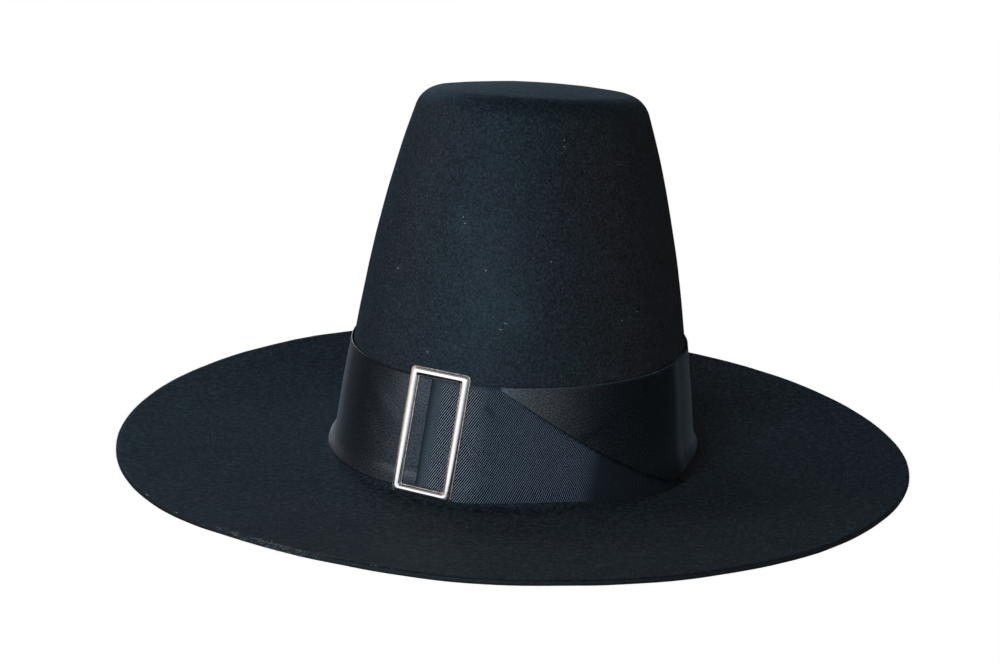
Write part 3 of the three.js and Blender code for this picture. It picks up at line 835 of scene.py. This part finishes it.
def band(material):
    shares = across(34)
    fold_end = FOLD_LINE[-1][0]
    tuck_end = 360 + math.degrees(BAND_TUCK / BASE_HALF)
    turns = np.r_[np.linspace(FOLD_LINE[0][0], fold_end, 60)[:-1], np.linspace(fold_end, tuck_end, 380)]
    low = np.where(turns <= fold_end, curve(FOLD_LINE, turns), 0.0)
    share = mix(low[:, None], 1.0, shares[None, :])
    turn = np.broadcast_to(turns[:, None], share.shape)
    z, off = band_shape(turn, share)
    points = on_wall(turn, z, off)
    off = off + wrinkles(BAND_WRINKLES, turn, z) + uneven(points, BAND_UNEVEN)
    ends = np.ones((len(turns), 1))
    ends[[0, 1, -2, -1], 0] = 0.4, 0.8, 0.8, 0.4
    thin = edge_thin(shares) * ends
    middle = off - CLOTH / 2
    outer = on_wall(turn, z, middle + CLOTH / 2 * thin)
    inner = on_wall(turn, z, middle - CLOTH / 2 * thin)
    cloth = np.stack([arc(turn), z, np.zeros_like(z)], -1)
    # Painted highlight on the band's top edge, over turns 24 to 100.
    selvedge_highlight = smooth((share - 0.985) / 0.01) * smooth((turn - 24) / 8) * smooth((100 - turn) / 20)
    edge = np.minimum(shares, 1 - shares)
    hem = 0.85 * (1 - smooth((edge - 0.006) / 0.010)) * (1 - np.minimum(selvedge_highlight * 2, 1))
    hem[:2] = 0.5
    marks = {"cloth": cloth, "selvedge_highlight": selvedge_highlight, "hem": hem}
    return ribbon_piece("band_ribbon", outer, inner, marks, material)


# Buckle.


def buckle_place():
    """The buckle's own frame: X across, Y up its height, Z out from its back face."""
    low = HEM + BUCKLE_RISE
    high = low + BUCKLE_HEIGHT * math.cos(float(wall_lean(low)))
    stand = GAP * 4 + LAYER * 2 + POST_DEPTH
    foot = Vector(on_wall(0, low, stand + flare(low) + GAP))
    head = Vector(on_wall(0, high, stand))
    up = (head - foot).normalized()
    out = Vector((0, -up.z, up.y)).normalized()
    side = -out.cross(up)
    spot = foot + up * (BUCKLE_HEIGHT / 2)
    spot.x = float(centre(spot.z)[0]) + BUCKLE_SIDE
    place = Matrix((side, up, out)).transposed().to_4x4()
    place.translation = spot
    return place @ Matrix.Rotation(-BUCKLE_ROLL, 4, "Z")


PLACE = buckle_place()
POST_FACE = -GAP * 2 - LAYER


def post_at(z):
    """The post at a height: how far its face stands off the wall, and its x from the crown's middle."""
    foot = PLACE @ Vector((POST_SIDE, -BUCKLE_HEIGHT / 2, POST_FACE))
    head = PLACE @ Vector((POST_SIDE, BUCKLE_HEIGHT / 2, POST_FACE))
    t = (z - foot.z) / (head.z - foot.z)
    x, y = mix(foot.x, head.x, t), mix(foot.y, head.y, t)
    cx, cy = centre(z)
    return cy - y - (wall_out(z) + BASE_HALF + HEAD_EXTRA), x - cx


def strap_height(turn, share):
    return HEM + RIBBON * mix(curve(STRAP_LOW, turn), curve(STRAP_HIGH, turn), share)


STRAP_HALF = POST_WIDTH / 2 + GAP
STRAP_DESCENT = BAND_TUCK + STRAP_EASING - STRAP_HALF
FOLD_TURN = -2.0  # where the fold takes its height
FOLD_COLUMNS = 13


def beside(side, z, off):
    """Points so far beside the crown's middle and off its wall."""
    turn = np.degrees(np.arcsin(side / (wall_out(z) + BASE_HALF + off)))
    return on_wall(turn, z, off)


def strap_fold(shares):
    """Columns of the fold round the post: outer and inner points, length along the ribbon and height."""
    z = strap_height(FOLD_TURN, shares)
    top, side = post_at(z)
    face = top + GAP + LAYER
    bottom = 2 * GAP + LAYER + flare(z)
    left = side - STRAP_HALF - LAYER - STRAP_LOOSE
    columns = []
    for k in np.linspace(0, 1, 5)[:-1]:
        off = mix(face, bottom, mix(1.0, FOLD_ARRIVAL, k))
        along = np.full_like(z, arc(0.0) - 6 + 2 * k)
        columns.append((beside(left, z, off), beside(left + CLOTH, z, off), along, z))
    reach = FOLD_REACH + STRAP_LOOSE
    rise = face - mix(face, bottom, FOLD_ARRIVAL)
    for k in np.linspace(0, 1, 9):
        cosine, sine = math.cos(k * math.pi / 2), math.sin(k * math.pi / 2)
        off = face - rise * (1 - sine)
        outer = beside(left + reach * (1 - cosine), z, off)
        inner = beside(left + reach - (reach - CLOTH) * cosine, z, off - CLOTH * sine)
        columns.append((outer, inner, np.full_like(z, arc(0.0) - 4 + 2.4 * k), z))
    return columns


def strap_slope(shares):
    """Columns from the post down to the felt."""
    columns = []
    for beyond in np.linspace(0.02, 1, 34):
        side = post_at(strap_height(0.0, shares))[1] + STRAP_HALF + beyond * STRAP_DESCENT
        turn = np.degrees(side / BASE_HALF)
        z = strap_height(turn, shares)
        lower = mix(post_at(z)[0] + GAP, GAP + flare(z), smooth(beyond))
        off = lower + LAYER + wrinkles(STRAP_WRINKLES, turn, z) * smooth(beyond * 2)
        columns.append((beside(side, z, off), beside(side, z, off - CLOTH), arc(turn), z))
    return columns


def strap_lying(shares):
    """Columns that lie on the felt, as far as the strap's end beneath the band."""
    columns = []
    landing = math.degrees((STRAP_HALF + STRAP_DESCENT + BUCKLE_SIDE) / BASE_HALF) + 2.8
    for turn in np.linspace(landing, STRAP_TURN, 110):
        z = strap_height(turn, shares)
        spread = np.full_like(z, turn)
        off = GAP + flare(z) + LAYER + wrinkles(STRAP_WRINKLES, spread, z) * smooth((66 - turn) / 12)
        columns.append((on_wall(spread, z, off), on_wall(spread, z, off - CLOTH), arc(spread), z))
    return columns


def strap_marks(shares, outer, along, z):
    """Where the strap shows its twill, the painted shade on its far end, under the fold, along a wrinkle and
    round the post, and the painted light near the buckle.
    """
    column = np.arange(len(z))[:, None]
    turn = np.interp(along[:, 0], ARC_LENGTHS, ARC_TURNS)[:, None]
    # Painted shade where the strap's far end turns away from the light.
    far = smooth((turn - 40.2 - 0.2 * (z - 10)) / 8 + 0.06 * waves(outer, 9.0, 6.0))
    # Beneath the band's slanting fold the strap gets a narrow painted shadow.
    fold = mix(round_curve(BAND_LOW, turn), round_curve(BAND_HIGH, turn), curve(FOLD_LINE, turn))
    shade = (1 - smooth((HEM + RIBBON * fold - z - 0.3) / 1.4)) * smooth((turn - 20) / 8)
    # Painted shade along the sunken wrinkle beside the buckle.
    soft_line = ridge(turn, z, (12.0, 51.0), (18.5, 41.0), 1.3, 0.7)
    weave = smooth((column - 10) / 7) * smooth((0.99 - shares[None, :]) / 0.03)
    # The twill's bright threads are hidden in the painted shade as well.
    weave = weave * (1 - 0.8 * far) * (1 - shade) * (1 - soft_line)
    # Painted shade on the first columns, where the strap turns round the post.
    riser = 0.8 * (1 - smooth((column - 3) / 11))
    painted_shade = np.maximum(np.maximum(0.85 * far, shade), np.maximum(soft_line, riser))
    # Painted light on the strap near the buckle, fading further round.
    near = np.broadcast_to(1 - smooth((turn - 5) / 12), z.shape)
    cloth = np.stack([along, z, np.zeros_like(z)], -1)
    return {"cloth": cloth, "weave": weave, "painted_shade": painted_shade, "near": near}


def strap(material):
    shares = across(34)
    columns = strap_fold(shares) + strap_slope(shares) + strap_lying(shares)
    outer, inner, along, z = (np.array(kind) for kind in zip(*columns))
    out = outer - inner
    out /= np.linalg.norm(out, axis=-1)[..., None]
    beyond_fold = smooth((np.arange(len(columns)) - FOLD_COLUMNS - 1) / 12)[:, None]
    push = out * (uneven(outer, STRAP_UNEVEN) * beyond_fold)[..., None]
    middle = (outer + inner) / 2 + push
    half = (outer - inner) / 2 * edge_thin(shares)[None, :, None]
    marks = strap_marks(shares, middle + half, along, z)
    return ribbon_piece("strap_ribbon", middle + half, middle - half, marks, material)


BAR_SWEEP = math.radians(77)  # from the bar's top to its side
CORNER_POINTS = 9
BOX_FACES = [(0, 2, 3, 1), (4, 5, 7, 6), (0, 1, 5, 4), (2, 6, 7, 3), (0, 4, 6, 2), (1, 3, 7, 5)]


def bar_profile():
    """One bar of the frame from the window to its outer edge, as shares of width and of depth."""
    half = [(0.0, 0.0), (0.0, 0.36), (0.008, 0.40), (0.025, 0.425), (0.06, 0.45), (0.095, 0.46)]
    for turn in np.radians(np.linspace(74, 8, 12)):
        share = math.sin(turn) / math.sin(BAR_SWEEP)
        rise = (math.cos(turn) - math.cos(BAR_SWEEP)) / (1 - math.cos(BAR_SWEEP))
        half.append((0.5 - 0.4 * share, 0.46 + 0.54 * rise))
    return half + [(0.5, 1.0)] + [(1 - x, y) for x, y in half[::-1]]


def frame_loop(share, depth):
    """Points round the frame at a share of its bar, with some along the straight stretches too."""
    radius = mix(0.5, 2.0, share)
    inset = (1 - share) * BAR + radius
    corners = []
    for x_sign, y_sign, flipped in ((1, 1, False), (-1, 1, True), (-1, -1, False), (1, -1, True)):
        for k in np.linspace(0, 1, CORNER_POINTS):
            a = math.pi / 2 * (1 - k if flipped else k)
            x = BUCKLE_WIDTH / 2 - inset + radius * math.cos(a)
            y = BUCKLE_HEIGHT / 2 - inset + radius * math.sin(a)
            corners.append(np.array((x_sign * x, y_sign * y, depth * BUCKLE_DEPTH)))
    loop = []
    for n, spot in enumerate(corners):
        loop.append(spot)
        if n % CORNER_POINTS == CORNER_POINTS - 1:
            after = corners[(n + 1) % len(corners)]
            loop += [mix(spot, after, k) for k in np.linspace(0, 1, 12)[1:-1]]
    return loop


def strap_edge(share, deeper):
    """How high along the buckle an edge of the strap crosses the post."""
    z = float(strap_height(FOLD_TURN, share))
    return (PLACE.inverted() @ Vector(on_wall(0, z, post_at(z)[0] + deeper))).y


def post_boxes():
    """Corners of the hidden upright post and of the two legs that join it to the frame."""
    reach = BUCKLE_HEIGHT / 2 - BAR * 0.15
    leg = (POST_FACE - POST_DEPTH / 2, BUCKLE_DEPTH * 0.15)
    sides = (POST_SIDE - POST_WIDTH / 2, POST_SIDE + POST_WIDTH / 2)
    boxes = []
    for heights, depths in (
        ((-reach, reach), (POST_FACE - POST_DEPTH, POST_FACE)),
        ((-reach, strap_edge(0, GAP + LAYER) - GAP), leg),
        ((strap_edge(1, 0) + GAP, reach), leg),
    ):
        boxes.append([(x, y, z) for z in depths for y in heights for x in sides])
    return boxes


def buckle(material):
    profile = bar_profile()
    loops = np.array([frame_loop(share, depth) for share, depth in profile])
    loops[..., 2] += 0.03 * waves(loops, 7.0, 1.0) * smooth((loops[..., 2] - 0.6) / 0.8)
    size = loops.shape[1]
    faces = grid_faces(len(loops), size)
    last = (len(loops) - 1) * size
    faces += [(last + n, n, (n + 1) % size, last + (n + 1) % size) for n in range(size)]
    lips = np.repeat([1.0 if depth < 0.47 else 0.0 for _, depth in profile], size)
    points = loops.reshape(-1, 3)
    for corners in post_boxes():
        faces += [tuple(len(points) + i for i in face) for face in BOX_FACES]
        points = np.concatenate([points, corners])
        lips = np.concatenate([lips, np.zeros(len(corners))])
    world = [tuple(PLACE @ Vector(p)) for p in points]
    made = add_object("buckle_frame", world, faces, material, {"lip": lips})
    made.data.shade_smooth()
    with bpy.context.temp_override(object=made, selected_objects=[made], active_object=made):
        bpy.ops.object.shade_auto_smooth(angle=math.radians(40))
    return made


# Stage, light and camera, with places in m.
VIEW_TURN = 20.912
VIEW_PITCH = 12.61
VIEW_ROLL = 4.205
EYE = (0.24185, -0.67016, 0.21770)
LENS = 53.13  # in mm, as is SENSOR
SENSOR = 36
FLOOR_SIZE = 400
FLOOR_DROP = 0.0002
BACKDROP_SHINE = 1.05
AIM_RISE = 0.08  # height that the lamps face


def stage():
    bpy.context.scene.view_settings.view_transform = "Standard"
    bpy.ops.mesh.primitive_plane_add(size=FLOOR_SIZE, location=(0, 0, -FLOOR_DROP))
    floor = bpy.context.object
    floor.name = "floor"
    floor.data.materials.append(floor_material())
    # The floor shines white without lighting the dark felt.
    floor.visible_diffuse = False
    floor.visible_glossy = False
    # So does the wall behind it: only the lamps light the hat.
    world = bpy.data.worlds.new("studio")
    bpy.context.scene.world = world
    world.use_nodes = True
    world.cycles_visibility.diffuse = False
    world.cycles_visibility.glossy = False
    backdrop = world.node_tree.nodes["Background"].inputs
    backdrop["Color"].default_value = (1, 1, 1, 1)
    backdrop["Strength"].default_value = BACKDROP_SHINE


def softbox(name, side, rise, reach, size, power, colour, target=AIM_RISE):
    """A soft light; side is in degrees round the hat from the camera, negative to its left."""
    light = bpy.data.lights.new(name, "AREA")
    light.shape = "RECTANGLE"
    light.size, light.size_y = size
    light.energy = power
    light.color = colour
    lamp = bpy.data.objects.new(name, light)
    lamp.visible_camera = False
    turn = math.radians(VIEW_TURN + side)
    lamp.location = (math.sin(turn) * reach, -math.cos(turn) * reach, rise)
    lamp.rotation_euler = (Vector((0, 0, target)) - lamp.location).to_track_quat("-Z", "Y").to_euler()
    bpy.context.scene.collection.objects.link(lamp)
    return lamp


# Lamps: side in degrees, rise, reach and size in m, power in W, colour, and what they light.
LAMPS = [
    (-20, 0.47, 2.4, (1.2, 0.9), 51.0, (0.54, 0.79, 1.0), "cloth"),
    (5, 0.47, 2.4, (1.2, 0.9), 7.5, (1.0, 0.68, 0.58), "felt"),
    (5, 0.47, 2.4, (1.2, 0.9), 7.4, (0.82, 0.90, 1.0), "ribbons"),
    (31, 0.47, 2.4, (1.4, 0.9), 8.2, (0.50, 0.88, 1.0), "felt"),
    (31, 0.47, 2.4, (1.4, 0.9), 7.6, (0.78, 0.86, 0.95), "ribbons"),
    (-118, 1.4, 1.9, (1.0, 1.0), 3.7, (0.81, 0.85, 1.0), "cloth"),
    (-150, 1.4, 2.0, (1.0, 1.0), 6.4, (0.46, 0.74, 1.0), "cloth"),
    (-82, 0.5, 2.0, (0.8, 0.8), 12.5, (0.90, 0.95, 1.0), "felt"),
    (80, 0.6, 2.2, (0.8, 0.8), 5.0, (1.0, 0.40, 0.22), "felt"),
    (-66, 0.47, 2.2, (0.4, 0.8), 13.0, (0.76, 0.86, 1.0), "band"),
    (-155, 0.3, 2.0, (0.8, 0.5), 9.0, (0.94, 0.95, 0.97), "band"),
]
# What the polished metal mirrors: side and width in degrees, radiance and colour.
CARDS = [
    (-172, 50, 0.55, (1.0, 0.86, 0.70)),
    (-128, 38, 0.60, (1.0, 0.88, 0.72)),
    (-88, 44, 0.80, (1.0, 0.90, 0.76)),
    (-43, 46, 1.25, (1.0, 1.0, 1.0)),
    (-5, 32, 1.10, (0.95, 0.96, 1.0)),
    (24, 28, 0.66, (0.90, 0.92, 1.0)),
    (54, 32, 0.26, (0.78, 0.86, 1.0)),
    (86, 32, 0.14, (0.85, 0.93, 1.0)),
]
CARD_REACH = 1.6
CARD_LOW = -0.6
CARD_HIGH = 2.3
CEILING_SIZE = (3.6, 3.0)
CEILING_RISE = 2.4
CEILING_REACH = 0.9
CEILING_SHINE = 0.34
CEILING_COLOUR = (1.0, 0.90, 0.90)


def lit_group(name, pieces):
    group = bpy.data.collections.new(name)
    for piece in pieces:
        group.objects.link(piece)
    return group


def card_power(shine, size):
    """The power that gives a card of a size its radiance."""
    return shine * math.pi * size[0] * size[1]


def lighting(felt_pieces, ribbons, metal):
    """Lamps for the felt and ribbons, and pale cards that light the metal alone."""
    groups = {
        "felt": lit_group("lit_felt", felt_pieces),
        "cloth": lit_group("lit_cloth", felt_pieces + ribbons),
        "ribbons": lit_group("lit_ribbons", ribbons),
        "band": lit_group("lit_band", ribbons[:1]),
    }
    # The buckle's shadow would darken the narrow stretch of ribbon in its window.
    shading = lit_group("no_shade_from_metal", [metal])
    shading.collection_objects[0].light_linking.link_state = "EXCLUDE"
    for side, rise, reach, size, power, colour, lit in LAMPS:
        lamp = softbox("lamp", side, rise, reach, size, power, colour)
        lamp.light_linking.receiver_collection = groups[lit]
        lamp.light_linking.blocker_collection = shading
    shown = lit_group("lit_metal", [metal])
    cards = []
    middle = (CARD_LOW + CARD_HIGH) / 2
    for side, wide, shine, colour in CARDS:
        size = (2 * CARD_REACH * math.tan(math.radians(wide / 2)), CARD_HIGH - CARD_LOW)
        cards.append(softbox("card", side, middle, CARD_REACH, size, card_power(shine, size), colour, middle))
    power = card_power(CEILING_SHINE, CEILING_SIZE)
    ceiling = softbox("ceiling_card", 180, CEILING_RISE, CEILING_REACH, CEILING_SIZE, power, CEILING_COLOUR)
    for card in cards + [ceiling]:
        card.light_linking.receiver_collection = shown


def camera():
    data = bpy.data.cameras.new("view")
    data.sensor_width = SENSOR
    data.lens = LENS
    data.clip_start = 0.02
    eye = bpy.data.objects.new("view", data)
    turn, pitch, roll = np.radians((VIEW_TURN, VIEW_PITCH, VIEW_ROLL))
    ahead = Vector((-math.sin(turn) * math.cos(pitch), math.cos(turn) * math.cos(pitch), -math.sin(pitch)))
    right = Vector((math.cos(turn), math.sin(turn), 0))
    up = right.cross(ahead)
    aside = right * math.cos(roll) + up * math.sin(roll)
    above = up * math.cos(roll) - right * math.sin(roll)
    eye.matrix_world = Matrix((aside, above, -ahead)).transposed().to_4x4()
    eye.location = EYE
    bpy.context.scene.collection.objects.link(eye)
    bpy.context.scene.camera = eye


camera()
stage()

felt = felt_material()
fibre = fibre_material()
shell = felt_body(felt)
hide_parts("felt_body")
fuzz = edge_fibres(fibre)
bits = lint(fibre)
raised = nap(fibre)
tufts = worn_fibres(fibre)
band_piece = band(ribbon_material())
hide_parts("band")
strap_piece = strap(twill_material())
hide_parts("buckle_strap")
buckle_piece = buckle(metal_material())
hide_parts("buckle")
lighting([shell, fuzz, bits, raised, tufts], [band_piece, strap_piece], buckle_piece)
